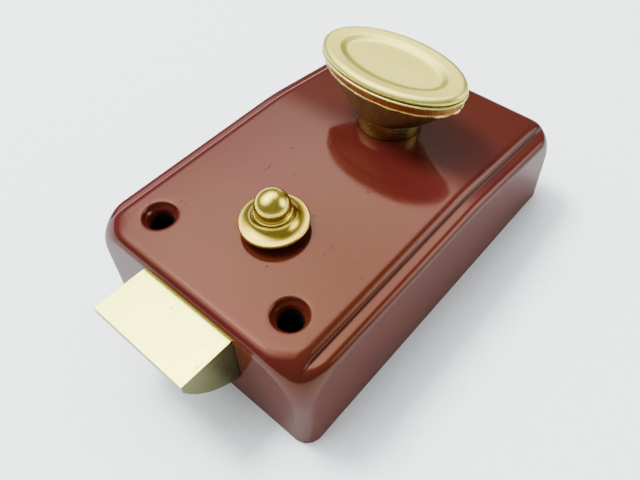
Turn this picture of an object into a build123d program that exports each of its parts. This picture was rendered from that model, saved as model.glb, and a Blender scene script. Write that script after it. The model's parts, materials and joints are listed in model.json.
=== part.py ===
from build123d import *
import os
from math import cos, hypot, pi, radians, sin

# Surface-mounted rim night latch, lying on its back as it does before it is fitted.
# Millimetres. +X is the way the bolt shoots, +Z points out of the case's face into the room,
# and Z = 0 is the plane that lies on the door. The origin is on that plane, on the knob's axis.

os.makedirs("parts", exist_ok=True)

# Case, as cast
backset = 60.0
rear_length = 27.0
case_width = 57.4
front_height = 24.5
kink_height = 25.3
rear_height = 21.5
kink_x = 8.5
kink_radius = 60.0
wall = 2.2
corner_radius = 3.6
top_edge_radius = 2.6
rear_edge_radius = 4.5
front_round_depth = 9.5
front_round_reach = 7.0
front_round_back = 8.0
front_round_aside = 12.7
front_round_turn = 88.0
front_round_steps = 5
front_round_gap = 0.1

# Moulding along both long sides: a shelf, and a leaning step up to the main panel
step_depth = 2.5
shelf_width = 3.3
step_lean = 0.6
shelf_edge_radius = 0.7
panel_edge_radius = 0.9

# Fixing screw holes beside the bolt
screw_from_front = 9.2
screw_spacing = 34.9
screw_hole_radius = 2.75
countersink_radius = 3.9
screw_boss_wall = 1.9

# Back plate and its screws
plate_thickness = 1.5
plate_gap = 0.15
post_radius = 3.0
post_inset_y = 8.4
post_rear_inset = 7.5
post_front_inset = 26.0
plate_screw_radius = 1.4
plate_screw_length = 8.0
plate_screw_head_radius = 2.5
plate_screw_slot = 0.7
thread_gap = 0.05

# Latch bolt
bolt_width = 24.0
bolt_below_roof = 0.8
bolt_height = 13.0
bolt_projection = 11.2
bolt_left_out = 0.8
bolt_inside = 6.5
bolt_tip_thickness = 1.8
bevel_bulge = 1.6
window_gap = 0.2
guide_rib_length = 10.0
guide_rib_thickness = 0.9
guide_gap = 0.25

# Bolt tail, a pressed steel plate with a window round the spindle
tail_thickness = 3.0
tail_ring_gap = 0.7
tail_width = 10.0
tail_arm_width = 4.0
tail_bar = 4.0
tail_rear_bar = 5.0
tail_window_room = 1.5
tail_window_corner = 1.0
tail_seat_rest = 0.5
tail_seat_gap = 0.05
bolt_rivet_radius = 1.2
bolt_rivet_spacing = 5.6
bolt_rivet_from_rear = 3.0

# Knob drive
knob_swing = 60.0
cam_thickness = 3.7
cam_hub_radius = 6.5
cam_first_contact = 1.0
cam_back_angle = 62.0
cam_root_turn = 34.0
mesh_gap = 0.15
lug_length = 4.0
lug_width = 5.0
lug_rivet_radius = 1.2

# Knob, an oval stamped shell on a turned hub
knob_long = 34.4
knob_short = 19.0
knob_top = 40.8
knob_rim_height = 1.4
knob_rim_radius = 1.1
knob_sheet = 0.8
knob_groove_depth = 0.5
knob_groove_height = 0.35
skirt_height = 2.8
skirt_lip = 0.2
skirt_taper = 0.75
skirt_sheet = 0.5
bowl_shoulder = 0.9
bowl_swell = 0.12
recess_long = 25.4
recess_short = 13.4
recess_depth = 0.8
recess_slope = 1.2
hub_radius = 7.2
hub_top = 28.9
hub_spigot_radius = 5.5
clench_ring_radius = 6.2
clench_ring_height = 1.2
running_fit = 0.08

# Spindle and what it carries inside the case
spindle_square = 7.0
spindle_gap = 0.03
bearing_wall = 2.3
bearing_length = 3.3
washer_thickness = 0.5
ring_thickness = 0.7
ring_width = 1.8
ring_groove = 0.8
ring_opening = 60.0
hub_tail_gap = 0.3
socket_radius = 6.0
socket_flange_radius = 8.0
socket_flange_height = 1.5
tailpiece_slot_length = 8.4
tailpiece_slot_width = 2.4
tailpiece_slot_depth = 5.5
tailpiece_floor = 1.0

# Guide bridge, bolt spring and its pin
bridge_tail_gap = 1.15
bridge_sheet = 2.0
bridge_width = 25.0
bridge_over_spring = 3.0
bridge_foot = 8.0
bridge_corner = 2.0
bridge_rivet_radius = 1.3
bridge_rivet_spacing = 14.0
spring_y = -8.4
spring_over_bolt_bottom = 7.0
spring_radius = 2.1
spring_wire_radius = 0.35
spring_turns = 7
spring_pocket_radius = 2.7
spring_pocket_depth = 6.0
spring_pin_radius = 1.4
spring_pin_length = 20.0

# Snib, a turned button on a slide under the case's roof
snib_from_front = 21.5
snib_travel = 4.0
snib_foot_radius = 4.2
snib_foot_height = 1.4
snib_flange_radius = 6.9
snib_flange_height = 0.75
snib_flare_height = 2.1
snib_flare_sag = 0.6
snib_neck_radius = 3.1
snib_collar_radius = 3.6
snib_collar_height = 0.9
snib_dome_radius = 3.3
snib_top = 33.9
snib_stem_radius = 2.0
snib_stem_gap = 0.25
snib_float = 0.25
slide_thickness = 1.3
slide_bolt_gap = 0.5
slide_behind = 6.0
slide_beside = 4.0
slide_corner = 1.0
nose_width = 4.0
nose_depth = 3.6
nose_gap = 0.3
detent_sheet = 0.4
detent_height = 1.8
detent_length = 15.0
detent_bump_radius = 0.9
detent_gap = 0.2
detent_post_radius = 1.2

# Clearance between pieces that pass each other
clearance = 0.3

# Sizes that follow
throw = bolt_projection - bolt_left_out
base_radius = throw / radians(knob_swing)
half_width = case_width / 2
foot_y = half_width - shelf_width
panel_y = foot_y - step_lean - panel_edge_radius
screw_x = backset - screw_from_front
bolt_top = front_height - wall - bolt_below_roof
bolt_bottom = bolt_top - bolt_height
bolt_rear = backset - bolt_inside
bolt_tip = backset + bolt_projection
spring_z = bolt_bottom + spring_over_bolt_bottom
spindle_corner = spindle_square / 2 ** 0.5
snib_x = backset - snib_from_front
snib_y = snib_travel / 2
slide_front = bolt_rear - throw - slide_bolt_gap
front_inside = backset - wall
rear_inside = -(rear_length - wall)


def outer_z(x):
    """Height of the top panel's outer face at x, with the bend across it taken as sharp."""
    if x > kink_x:
        return kink_height + (front_height - kink_height) * (x - kink_x) / (backset - kink_x)
    return kink_height + (rear_height - kink_height) * (kink_x - x) / (kink_x + rear_length)


def ceiling_z(x):
    """Height of the roof inside the case, under the main panel."""
    return outer_z(x) - wall


def bearing_bottom():
    """Lower end of the case's boss round the hub."""
    return ceiling_z(0) - bearing_length


def ring_top():
    """Upper face of the retaining ring, under its washer."""
    return bearing_bottom() - washer_thickness


def rod(radius, x, y, z_low, z_high):
    """An upright round bar."""
    return Pos(x, y, z_low) * Cylinder(radius, z_high - z_low, align=(Align.CENTER, Align.CENTER, Align.MIN))


def bar(x_low, x_high, y_low, y_high, z_low, z_high):
    """A square-edged block between six planes."""
    block = Box(x_high - x_low, y_high - y_low, z_high - z_low, align=(Align.MIN, Align.MIN, Align.MIN))
    return Pos(x_low, y_low, z_low) * block


tail_top = ring_top() - ring_thickness - tail_ring_gap
tail_bottom = tail_top - tail_thickness
cam_top = tail_bottom - clearance
cam_bottom = cam_top - cam_thickness


def mirrored(shape):
    """The shape and its mirror image across the case's centre plane."""
    return shape + mirror(shape, about=Plane.XZ)


def save(shape, name):
    """Writes one piece to its own file."""
    shape.label = name
    export_step(shape, f"parts/{name}.step")


# Case

def top_path(drop, x_rear, x_front):
    """The top panel's line from the side, lowered by drop: rear slope, soft bend, front slope."""
    rear = (x_rear, outer_z(x_rear) - drop)
    bend = (kink_x, kink_height - drop)
    front = (x_front, outer_z(x_front) - drop)
    return FilletPolyline(rear, bend, front, radius=kink_radius)


def case_block(inset, drop, half):
    """The case's outline pulled in by inset, under a top that is lowered by drop, half wide each way."""
    x_front = backset - inset
    x_rear = -(rear_length - inset)
    top = top_path(drop, x_rear, x_front)
    sides = Polyline(top @ 1, (x_front, 0), (x_rear, 0), top @ 0)
    profile = make_face([*top.edges(), *sides.edges()])
    prism = extrude(Plane.XZ * profile, amount=half, both=True)
    radius = max(corner_radius - inset, 0.5)
    plan = Pos((x_front + x_rear) / 2, 0) * RectangleRounded(x_front - x_rear, 2 * half, radius)
    return extrude(plan, amount=2 * kink_height) & prism


def rim_edges(block):
    """The edges round the block's top, without those that cross it at the soft bend."""
    lowest = min(front_height, rear_height) / 2
    chosen = []
    for edge in block.edges():
        middle = edge.center()
        at_side = abs(middle.Y) > half_width - corner_radius - 0.1
        at_end = middle.X > backset - corner_radius or middle.X < -rear_length + corner_radius
        if edge.bounding_box().min.Z > lowest and (at_side or at_end):
            chosen.append(edge)
    return chosen


def step_cutter():
    """What the side moulding takes off one side, swept along the top and past both ends."""
    line = top_path(0, -rear_length - 3, backset + 3)
    path = Wire((Plane.XZ * line).edges())
    shelf_z = -step_depth
    edge_z = shelf_z - shelf_edge_radius
    outside = half_width + 1
    above = 1
    shelf_y = half_width - shelf_edge_radius
    shelf_corner = RadiusArc((half_width, edge_z), (shelf_y, shelf_z), -shelf_edge_radius)
    step_top = (panel_y + panel_edge_radius, -panel_edge_radius)
    panel_corner = RadiusArc(step_top, (panel_y, 0), -panel_edge_radius)
    step = Polyline(shelf_corner @ 1, (foot_y, shelf_z), panel_corner @ 0)
    waste_corners = [(panel_y, above), (outside, above), (outside, edge_z)]
    waste = Polyline(panel_corner @ 1, *waste_corners, shelf_corner @ 0)
    outline = [*shelf_corner.edges(), *step.edges(), *panel_corner.edges(), *waste.edges()]
    section = Plane(origin=path @ 0, x_dir=(0, 1, 0), z_dir=path % 0) * make_face(outline)
    return sweep(section, path=path)


def front_round_cutter():
    """What the large round takes off one front corner, beside a loft whose corner widens upwards."""
    sharp = 2 ** 0.5 - 1
    start = corner_radius * sharp + front_round_gap * 2 ** 0.5
    low = front_height - front_round_depth
    top = outer_z(backset - front_round_back)
    length = 2 * backset
    width = case_width + 2 * front_round_gap
    sections = []
    for step in range(front_round_steps + 1):
        turn = radians(front_round_turn * step / front_round_steps)
        inset = start + front_round_reach * (1 - cos(turn))
        place = Pos(backset + front_round_gap - length / 2, 0, low + (top - low) * sin(turn))
        sections.append(place * RectangleRounded(length, width, inset / sharp))
    corner = bar(backset - front_round_back, backset + 1, half_width - front_round_aside, half_width + 1,
                 low, top)
    return corner - loft(sections)


def plate_posts():
    """Centres of the four posts that the back plate is screwed to."""
    y = half_width - post_inset_y
    places = (rear_inside + post_rear_inset, backset - post_front_inset)
    return [(x, side * y) for x in places for side in (1, -1)]


def screw_holes():
    """Centres of the two fixing screw holes."""
    return [(screw_x, side * screw_spacing / 2) for side in (1, -1)]


def snib_slot():
    """The slot in the case's roof that the snib's stem slides in."""
    reach = snib_travel / 2 + snib_stem_radius + snib_stem_gap
    width = 2 * (snib_stem_radius + snib_stem_gap)
    slot = SlotOverall(2 * reach, width, rotation=90)
    return Pos(snib_x, 0, ceiling_z(snib_x) - 1) * extrude(slot, amount=2 * wall + 2)


def detent_posts():
    """Centres of the two posts that back the snib's click spring."""
    x = snib_x - slide_behind - clearance - detent_sheet - detent_post_radius
    y = detent_length / 2 - detent_post_radius
    return [(x, side * y) for side in (1, -1)]


def rear_rounding():
    """The case's side outline with the large round at its rear top corner, wider than the case."""
    top = top_path(0, -rear_length, backset)
    sides = Polyline(top @ 1, (backset, 0), (-rear_length, 0), top @ 0)
    profile = make_face([*top.edges(), *sides.edges()])
    corner = profile.vertices().sort_by(Axis.X)[:2].sort_by(Axis.Y)[-1]
    profile = fillet(corner, rear_edge_radius)
    return extrude(Plane.XZ * profile, amount=case_width, both=True)


def case():
    """The cast case: rounded block, side mouldings, hollow, bosses, posts, ribs and openings."""
    body = fillet(rim_edges(case_block(0, 0, half_width)), top_edge_radius)
    body &= rear_rounding()
    body -= mirrored(step_cutter())
    body -= mirrored(front_round_cutter())
    body -= case_block(wall, step_depth + wall, half_width - wall)
    body -= case_block(wall, wall, panel_y - wall)
    buried = wall / 2
    boss_radius = screw_hole_radius + screw_boss_wall
    for x, y in screw_holes():
        body += rod(boss_radius, x, y, plate_thickness, ceiling_z(x) + buried)
    for x, y in plate_posts():
        body += rod(post_radius, x, y, plate_thickness, ceiling_z(x) + buried)
    for x, y in detent_posts():
        body += rod(detent_post_radius, x, y, slide_bottom() - detent_gap, ceiling_z(x) + buried)
    body += rod(hub_radius + running_fit + bearing_wall, 0, 0, bearing_bottom(), ceiling_z(0) + buried)
    rib_inner = bolt_width / 2 + guide_gap
    rib_rear = front_inside - guide_rib_length
    rib = bar(rib_rear, front_inside + buried, rib_inner, rib_inner + guide_rib_thickness,
              bolt_bottom, ceiling_z(screw_x) + buried)
    body += mirrored(rib)
    body -= bar(rib_rear, front_inside, -rib_inner, rib_inner,
                bolt_bottom - window_gap, bolt_top + window_gap)
    half_window = bolt_width / 2 + window_gap
    body -= bar(front_inside - 0.01, backset + 1, -half_window, half_window,
                bolt_bottom - window_gap, bolt_top + window_gap)
    body -= rod(hub_radius + running_fit, 0, 0, 0, 2 * kink_height)
    body -= snib_slot()
    sink = countersink_radius - screw_hole_radius
    for x, y in screw_holes():
        body -= rod(screw_hole_radius, x, y, 0, 2 * kink_height)
        body -= Pos(x, y, outer_z(x) - sink / 2) * Cone(screw_hole_radius, countersink_radius, sink)
        body -= rod(countersink_radius, x, y, outer_z(x) - 0.001, 2 * kink_height)
    for x, y in plate_posts():
        body -= rod(plate_screw_radius + thread_gap, x, y, 0, plate_screw_length + 1)
    return body


# Back plate and its screws

def back_plate():
    """The steel plate that closes the back, inside the case's walls."""
    inset = wall + plate_gap
    length = backset + rear_length - 2 * inset
    radius = max(corner_radius - inset, 0.5)
    plan = Pos((backset - rear_length) / 2, 0) * RectangleRounded(length, case_width - 2 * inset, radius)
    plate = extrude(plan, amount=plate_thickness)
    plate -= rod(socket_radius + running_fit, 0, 0, -1, plate_thickness + 1)
    for x, y in screw_holes():
        plate -= rod(screw_hole_radius, x, y, -1, plate_thickness + 1)
    sink = plate_screw_head_radius - plate_screw_radius
    for x, y in plate_posts():
        plate -= rod(plate_screw_radius + thread_gap, x, y, -1, plate_thickness + 1)
        wide = plate_screw_head_radius + thread_gap
        plate -= Pos(x, y, sink / 2) * Cone(wide, plate_screw_radius + thread_gap, sink)
    for side in (1, -1):
        y = side * bridge_rivet_spacing / 2
        plate -= rod(bridge_rivet_radius, bridge_rivet_x(), y, -1, plate_thickness + 1)
    return plate


def plate_screw(x, y):
    """One countersunk screw, slotted, its head flush with the back plate."""
    sink = plate_screw_head_radius - plate_screw_radius
    head = Pos(x, y, sink / 2) * Cone(plate_screw_head_radius, plate_screw_radius, sink)
    screw = head + rod(plate_screw_radius, x, y, sink, plate_screw_length)
    slot = bar(x - plate_screw_head_radius, x + plate_screw_head_radius,
               y - plate_screw_slot / 2, y + plate_screw_slot / 2, -1, sink / 2)
    return screw - slot


def back_plate_screws():
    """The four identical screws that hold the back plate."""
    return Compound([plate_screw(x, y) for x, y in plate_posts()])


# Latch bolt

def latch_bolt():
    """The bolt's head: flat top, convex bevel underneath, drilled for the spring and slotted for the tail."""
    tip_low = bolt_top - bolt_tip_thickness
    bevel = SagittaArc((bolt_tip, tip_low), (backset, bolt_bottom), bevel_bulge)
    back = Polyline((backset, bolt_bottom), (bolt_rear, bolt_bottom), (bolt_rear, bolt_top),
                    (bolt_tip, bolt_top), (bolt_tip, tip_low))
    profile = Plane.XZ * make_face([*bevel.edges(), *back.edges()])
    head = extrude(profile, amount=bolt_width / 2, both=True)
    half_tail = tail_width / 2 + tail_seat_gap
    head -= bar(bolt_rear - 1, bolt_rear + tail_seat_depth(), -half_tail, half_tail,
                tail_bottom - tail_seat_gap, tail_top + tail_seat_gap)
    pocket = Plane(origin=(bolt_rear, spring_y, spring_z), z_dir=(1, 0, 0))
    head -= pocket * extrude(Circle(spring_pocket_radius), amount=spring_pocket_depth)
    for x, y in bolt_rivet_places():
        head -= rod(bolt_rivet_radius, x, y, bolt_bottom - 1, bolt_top + 1)
    return head


def tail_seat_depth():
    """How far the tail runs into the bolt's head."""
    return bolt_inside - tail_seat_rest


def bolt_rivet_places():
    """Centres of the rivets that hold the tail in the head."""
    return [(bolt_rear + bolt_rivet_from_rear, side * bolt_rivet_spacing / 2) for side in (1, -1)]


def bolt_rivets():
    """The two rivets through head and tail, flush at both ends."""
    return Compound([rod(bolt_rivet_radius, x, y, bolt_bottom, bolt_top) for x, y in bolt_rivet_places()])


def tail_window():
    """Front and rear end of the tail's window, which clears the spindle over the whole throw."""
    room = spindle_corner + tail_window_room
    return throw + room, -room


def nose_edge():
    """The snib nose's inner edge, at rest beside the tail."""
    return tail_width / 2 + nose_gap


def bolt_tail():
    """The pressed tail: a tongue with two snib notches, and a window between two arms."""
    front_end, rear_end = tail_window()
    arm_outer = base_radius + tail_arm_width / 2
    arm_inner = base_radius - tail_arm_width / 2
    half = tail_width / 2
    rear_bar = rear_end - tail_rear_bar
    wide = front_end + tail_bar
    tongue_end = bolt_rear + tail_seat_depth()
    frame = bar(rear_bar, wide, -arm_outer, arm_outer, tail_bottom, tail_top)
    frame = fillet(frame.edges().filter_by(Axis.Z), tail_arm_width / 2)
    tail = frame + bar(wide - tail_bar, tongue_end, -half, half, tail_bottom, tail_top)
    window = bar(rear_end, front_end, -arm_inner, arm_inner, tail_bottom - 1, tail_top + 1)
    tail -= fillet(window.edges().filter_by(Axis.Z), tail_window_corner)
    half_notch = nose_width / 2 + nose_gap
    notch_floor = nose_edge() - snib_travel - nose_gap
    for x in (snib_x, snib_x + throw):
        tail -= bar(x - half_notch, x + half_notch, notch_floor, half + 1, tail_bottom - 1, tail_top + 1)
    for x, y in bolt_rivet_places():
        tail -= rod(bolt_rivet_radius, x, y, tail_bottom - 1, tail_top + 1)
    tail -= rod(lug_rivet_radius, lug_x(), base_radius, tail_bottom - 1, tail_top + 1)
    return tail


def lug_face():
    """Where the lug's driven face stands with the bolt out."""
    return -(cam_first_contact + mesh_gap)


def lug_x():
    """Centre of the lug along the throw."""
    return lug_face() - lug_length / 2


def draw_lug():
    """The block under one arm that the cam's tooth pushes, riveted through the arm."""
    x = lug_x()
    inner = base_radius - lug_width / 2
    outer = base_radius + lug_width / 2
    block = bar(x - lug_length / 2, x + lug_length / 2, inner, outer, cam_bottom, tail_bottom)
    return block + rod(lug_rivet_radius, x, base_radius, tail_bottom, tail_top)


# Draw cam

def involute(roll):
    """Point of the tooth's face, unrolled from the base circle by an angle in radians."""
    start = radians(90) - roll + cam_first_contact / base_radius
    x = base_radius * (cos(start) - roll * sin(start))
    y = base_radius * (sin(start) + roll * cos(start))
    return x, y


def draw_cam():
    """The cam: a hub with one tooth whose involute face draws the lug back evenly, square on the spindle."""
    last_roll = (cam_first_contact + throw) / base_radius
    face = Spline([involute(last_roll * step / 8) for step in range(9)])
    tip = face @ 1
    tip_radius = hypot(tip.X, tip.Y)
    back_angle = radians(cam_back_angle)
    tip_end = (tip_radius * cos(back_angle), tip_radius * sin(back_angle))
    crown = RadiusArc(tip, tip_end, tip_radius)
    root_angle = back_angle - radians(cam_root_turn)
    root = (cam_hub_radius * cos(root_angle), cam_hub_radius * sin(root_angle))
    sides = Polyline(tip_end, root, (0, 0), face @ 0)
    tooth = make_face([*face.edges(), *crown.edges(), *sides.edges()])
    outline = Circle(cam_hub_radius) + tooth - square_hole()
    return Pos(0, 0, cam_bottom) * extrude(outline, amount=cam_thickness)


def square_hole():
    """The spindle's square with its fit."""
    return Rectangle(spindle_square + 2 * spindle_gap, spindle_square + 2 * spindle_gap)


# Spindle, tailpiece socket and the hub's fastenings

def tail_socket():
    """The socket that takes the key cylinder's flat tailpiece, turning in the back plate."""
    body = rod(socket_radius, 0, 0, 0, cam_bottom)
    flange_bottom = plate_thickness + clearance
    body += rod(socket_flange_radius, 0, 0, flange_bottom, flange_bottom + socket_flange_height)
    body -= bar(-tailpiece_slot_length / 2, tailpiece_slot_length / 2,
                -tailpiece_slot_width / 2, tailpiece_slot_width / 2, -1, tailpiece_slot_depth)
    body -= Pos(0, 0, spindle_bottom()) * extrude(square_hole(), amount=cam_bottom)
    return body


def spindle_bottom():
    """Lower end of the spindle, above the floor of the tailpiece slot."""
    return tailpiece_slot_depth + tailpiece_floor


def spindle():
    """The square bar from the socket up through cam and hub."""
    square = Rectangle(spindle_square, spindle_square)
    return Pos(0, 0, spindle_bottom()) * extrude(square, amount=spigot_top() - spindle_bottom())


def hub_bottom():
    """Lower end of the hub, just above the tail."""
    return tail_top + hub_tail_gap


def spigot_top():
    """Upper end of the hub's spigot inside the knob."""
    return hub_top + knob_sheet + clench_ring_height


def knob_hub():
    """The turned sleeve under the knob, in the case's boss, grooved for its retaining ring."""
    body = rod(hub_radius, 0, 0, hub_bottom(), hub_top)
    body += rod(hub_spigot_radius, 0, 0, hub_top, spigot_top())
    groove = rod(hub_radius + 1, 0, 0, ring_top() - ring_thickness, ring_top())
    groove -= rod(hub_radius - ring_groove, 0, 0, 0, ring_top() + 1)
    body -= groove
    body -= extrude(square_hole(), amount=spigot_top() + 1)
    return body


def hub_washer():
    """The thin washer between the boss and the retaining ring."""
    disc = rod(hub_radius + running_fit + bearing_wall, 0, 0, ring_top(), bearing_bottom())
    return disc - rod(hub_radius + running_fit, 0, 0, 0, bearing_bottom() + 1)


def retaining_ring():
    """The open spring ring in the hub's groove."""
    inner = hub_radius - ring_groove
    ring = Circle(hub_radius + ring_width - ring_groove) - Circle(inner)
    reach = 2 * hub_radius
    half_open = radians(ring_opening / 2)
    mouth = Polyline((0, 0), (-reach * cos(half_open), reach * sin(half_open)),
                     (-reach * cos(half_open), -reach * sin(half_open)), close=True)
    ring -= make_face(mouth.edges())
    return Pos(0, 0, ring_top() - ring_thickness) * extrude(ring, amount=ring_thickness)


# Knob

def oval(short, long, z):
    """An upright oval section of the knob at one height, long across the case."""
    return Pos(0, 0, z) * Ellipse(short / 2, long / 2)


def rim_bottom():
    """Underside of the knob face's rim."""
    return knob_top - knob_rim_height


def skirt_top():
    """The skirt's upper lip, below the thin groove under the face."""
    return rim_bottom() - knob_groove_height


def bowl_top():
    """Upper face of the bowl's flange, inside the skirt."""
    return skirt_top() - skirt_height + 2 * skirt_sheet


def knob_face():
    """The stamped oval face: rounded rim, sunk centre, and a wall inside the skirt."""
    short = knob_short
    long = knob_long
    rim = extrude(oval(short, long, rim_bottom()), amount=knob_rim_height)
    rim = fillet(rim.edges().sort_by(Axis.Z)[-1], knob_rim_radius)
    neck = 2 * (knob_groove_depth + skirt_sheet)
    rim += extrude(oval(short - neck, long - neck, bowl_top()), amount=rim_bottom() - bowl_top())
    hollow = neck + 2 * knob_sheet
    floor = knob_top - recess_depth - knob_sheet
    rim -= extrude(oval(short - hollow, long - hollow, bowl_top()), amount=floor - bowl_top())
    recess = [
        oval(recess_short - 2 * recess_slope, recess_long - 2 * recess_slope, knob_top - recess_depth),
        oval(recess_short, recess_long, knob_top + 0.001),
    ]
    return rim - loft(recess)


def knob_skirt():
    """The crimped band round the knob, drawn in towards its lower edge."""
    short = knob_short + 2 * skirt_lip
    long = knob_long + 2 * skirt_lip
    low = skirt_top() - skirt_height
    drawn = 2 * skirt_taper
    band = loft([oval(short - drawn, long - drawn, low), oval(short, long, skirt_top())])
    wall_short = knob_short - 2 * knob_groove_depth
    wall_long = knob_long - 2 * knob_groove_depth
    inner = 2 * skirt_sheet
    seat = bowl_top() - skirt_sheet
    band -= extrude(oval(wall_short - inner, wall_long - inner, seat), amount=knob_top)
    shoulder = 2 * bowl_shoulder
    band -= extrude(oval(wall_short - inner - shoulder, wall_long - inner - shoulder, 0), amount=knob_top)
    return band


def bowl_form(shrink, z_floor, z_rim):
    """The bowl's surface: round at the hub, oval at the rim, swelling between them."""
    rim_short = knob_short - 2 * (knob_groove_depth + skirt_sheet + bowl_shoulder)
    rim_long = knob_long - 2 * (knob_groove_depth + skirt_sheet + bowl_shoulder)
    foot = 2 * hub_radius
    sections = []
    for share in (0, 0.3, 0.65, 1):
        swell = share + bowl_swell * share * (1 - share)
        short = foot + (rim_short - foot) * swell - 2 * shrink
        long = foot + (rim_long - foot) * swell - 2 * shrink
        sections.append(oval(short, long, z_floor + (z_rim - z_floor) * share))
    return loft(sections)


def knob_bowl():
    """The pressed bowl under the knob, with the flange that the skirt is crimped round."""
    seat = bowl_top() - skirt_sheet
    bowl = bowl_form(0, hub_top, seat)
    inset = 2 * (knob_groove_depth + skirt_sheet)
    bowl += extrude(oval(knob_short - inset, knob_long - inset, seat), amount=bowl_top() - seat)
    bowl -= bowl_form(knob_sheet, hub_top + knob_sheet, bowl_top())
    return bowl - rod(hub_spigot_radius, 0, 0, 0, knob_top)


def clench_ring():
    """The ring that the hub's spigot is peened over, inside the bowl."""
    low = hub_top + knob_sheet
    disc = rod(clench_ring_radius, 0, 0, low, low + clench_ring_height)
    return disc - rod(hub_spigot_radius, 0, 0, 0, knob_top)


# Guide bridge, bolt spring and spring pin

def bridge_rivet_x():
    """Where the bridge's foot is riveted to the back plate."""
    return bridge_x() + (bridge_foot + bridge_sheet) / 2


def bridge_x():
    """Rear face of the bridge, just in front of the tail's window bar."""
    front_end, rear_end = tail_window()
    return front_end + tail_bar + bridge_tail_gap


def guide_bridge():
    """The bent steel bridge that carries tail and spring: an upright notched for the tail, on a foot."""
    half = bridge_width / 2
    rear = bridge_x()
    top = spring_z + bridge_over_spring
    upright = bar(rear, rear + bridge_sheet, -half, half, plate_thickness, top)
    upright = fillet(upright.edges().filter_by(Axis.X).group_by(Axis.Z)[-1], bridge_corner)
    foot = bar(rear, rear + bridge_foot, -half, half, plate_thickness, plate_thickness + bridge_sheet)
    bridge = upright + foot
    half_notch = tail_width / 2 + clearance
    bridge -= bar(rear - 1, rear + bridge_sheet + 1, -half_notch, half_notch,
                  tail_bottom - clearance, top + 1)
    pin_hole = extrude(Circle(spring_pin_radius), amount=bridge_sheet + 2)
    bridge -= Plane(origin=(rear - 1, spring_y, spring_z), z_dir=(1, 0, 0)) * pin_hole
    for side in (1, -1):
        bridge -= rod(bridge_rivet_radius, bridge_rivet_x(), side * bridge_rivet_spacing / 2,
                      0, plate_thickness + bridge_sheet + 1)
    return bridge


def bridge_rivets():
    """The two rivets that hold the bridge on the back plate."""
    y = bridge_rivet_spacing / 2
    top = plate_thickness + bridge_sheet
    return Compound([rod(bridge_rivet_radius, bridge_rivet_x(), side * y, 0, top) for side in (1, -1)])


def spring_pin():
    """The pin riveted in the bridge that keeps the spring straight."""
    start = Plane(origin=(bridge_x(), spring_y, spring_z), z_dir=(1, 0, 0))
    pin = start * extrude(Circle(spring_pin_radius), amount=bridge_sheet + spring_pin_length)
    return chamfer(pin.edges().sort_by(Axis.X)[-1], spring_pin_radius / 3)


def spring_ends():
    """Where the bolt spring starts on the bridge and ends in the bolt's pocket, along X."""
    low = bridge_x() + bridge_sheet + spring_wire_radius
    high = bolt_rear + spring_pocket_depth - spring_wire_radius
    return low, high


def spring_pitch():
    """How far the spring's wire climbs in one turn."""
    low, high = spring_ends()
    return (high - low) / spring_turns


def coil_point(turns):
    """Point on the wire's line after so many turns, and the way the wire runs there."""
    angle = 2 * pi * turns
    place = Vector(spring_pitch() * turns, spring_radius * cos(angle), spring_radius * sin(angle))
    run = Vector(spring_pitch() / (2 * pi), -spring_radius * sin(angle), spring_radius * cos(angle))
    return place, run.normalized()


def coil_half_turn(half):
    """Two arcs that follow the wire's line for one half turn and meet with one tangent."""
    start, start_run = coil_point(half / 2)
    end, end_run = coil_point((half + 1) / 2)
    span = end - start
    square = 2 * (1 - start_run.dot(end_run))
    along = 2 * span.dot(start_run + end_run)
    reach = ((along ** 2 + 4 * square * span.dot(span)) ** 0.5 - along) / (2 * square)
    middle = (start + end + (start_run - end_run) * reach) / 2
    first = TangentArc(start, middle, tangent=start_run)
    second = TangentArc(middle, end, tangent=first % 1)
    return [first, second]


def bolt_spring():
    """The coil spring that shoots the bolt, one unbroken wire swept along half turns of two arcs each."""
    low, high = spring_ends()
    arcs = [arc for half in range(2 * spring_turns) for arc in coil_half_turn(half)]
    line = Wire(arcs)
    start = Plane(origin=line @ 0, z_dir=line % 0)
    wire = sweep(start * Circle(spring_wire_radius), path=line)
    return Pos(low, spring_y, spring_z) * wire


def spring_self_gap():
    """Least gap between one turn of the spring's wire and the next, measured on points one turn apart."""
    pitch = spring_pitch()
    least = pitch
    for step in range(1, 73):
        turn = 2 * pi * (0.5 + step / 72)
        across = 2 * spring_radius * sin(turn / 2)
        least = min(least, hypot(across, pitch * turn / (2 * pi)))
    return least - 2 * spring_wire_radius


# Snib

def slide_top():
    """Upper face of the snib's slide, just under the roof."""
    return min(ceiling_z(snib_x), ceiling_z(slide_front)) - clearance


def slide_bottom():
    """Lower face of the snib's slide."""
    return slide_top() - slide_thickness


def snib_button():
    """The turned brass button: foot, flange, hollow flare, collar and dome, with its stem in the slot."""
    foot = outer_z(snib_x) + snib_float
    base = foot + snib_foot_height
    flange_top = base + snib_flange_height
    flare_top = flange_top + snib_flare_height
    collar_top = flare_top + snib_collar_height
    edge = snib_flange_height / 2
    rim = ThreePointArc((snib_flange_radius - edge, base), (snib_flange_radius, base + edge),
                        (snib_flange_radius - edge, flange_top))
    flare = SagittaArc(rim @ 1, (snib_neck_radius, flare_top), snib_flare_sag)
    collar_middle = flare_top + snib_collar_height / 2
    collar = ThreePointArc((snib_neck_radius, flare_top), (snib_collar_radius, collar_middle),
                           (snib_dome_radius, collar_top))
    rise = snib_top - collar_top
    dome_round = (snib_dome_radius ** 2 + rise ** 2) / (2 * rise)
    dome = RadiusArc((snib_dome_radius, collar_top), (0, snib_top), -dome_round)
    stem_end = slide_bottom()
    stem = [(0, snib_top), (0, stem_end), (snib_stem_radius, stem_end), (snib_stem_radius, foot)]
    axis = Polyline(*stem, (snib_foot_radius, foot), (snib_foot_radius, base), rim @ 0)
    outline = [*rim.edges(), *flare.edges(), *collar.edges(), *dome.edges(), *axis.edges()]
    button = revolve(Plane.XZ * make_face(outline), Axis.Z)
    return Pos(snib_x, snib_y) * button


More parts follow.
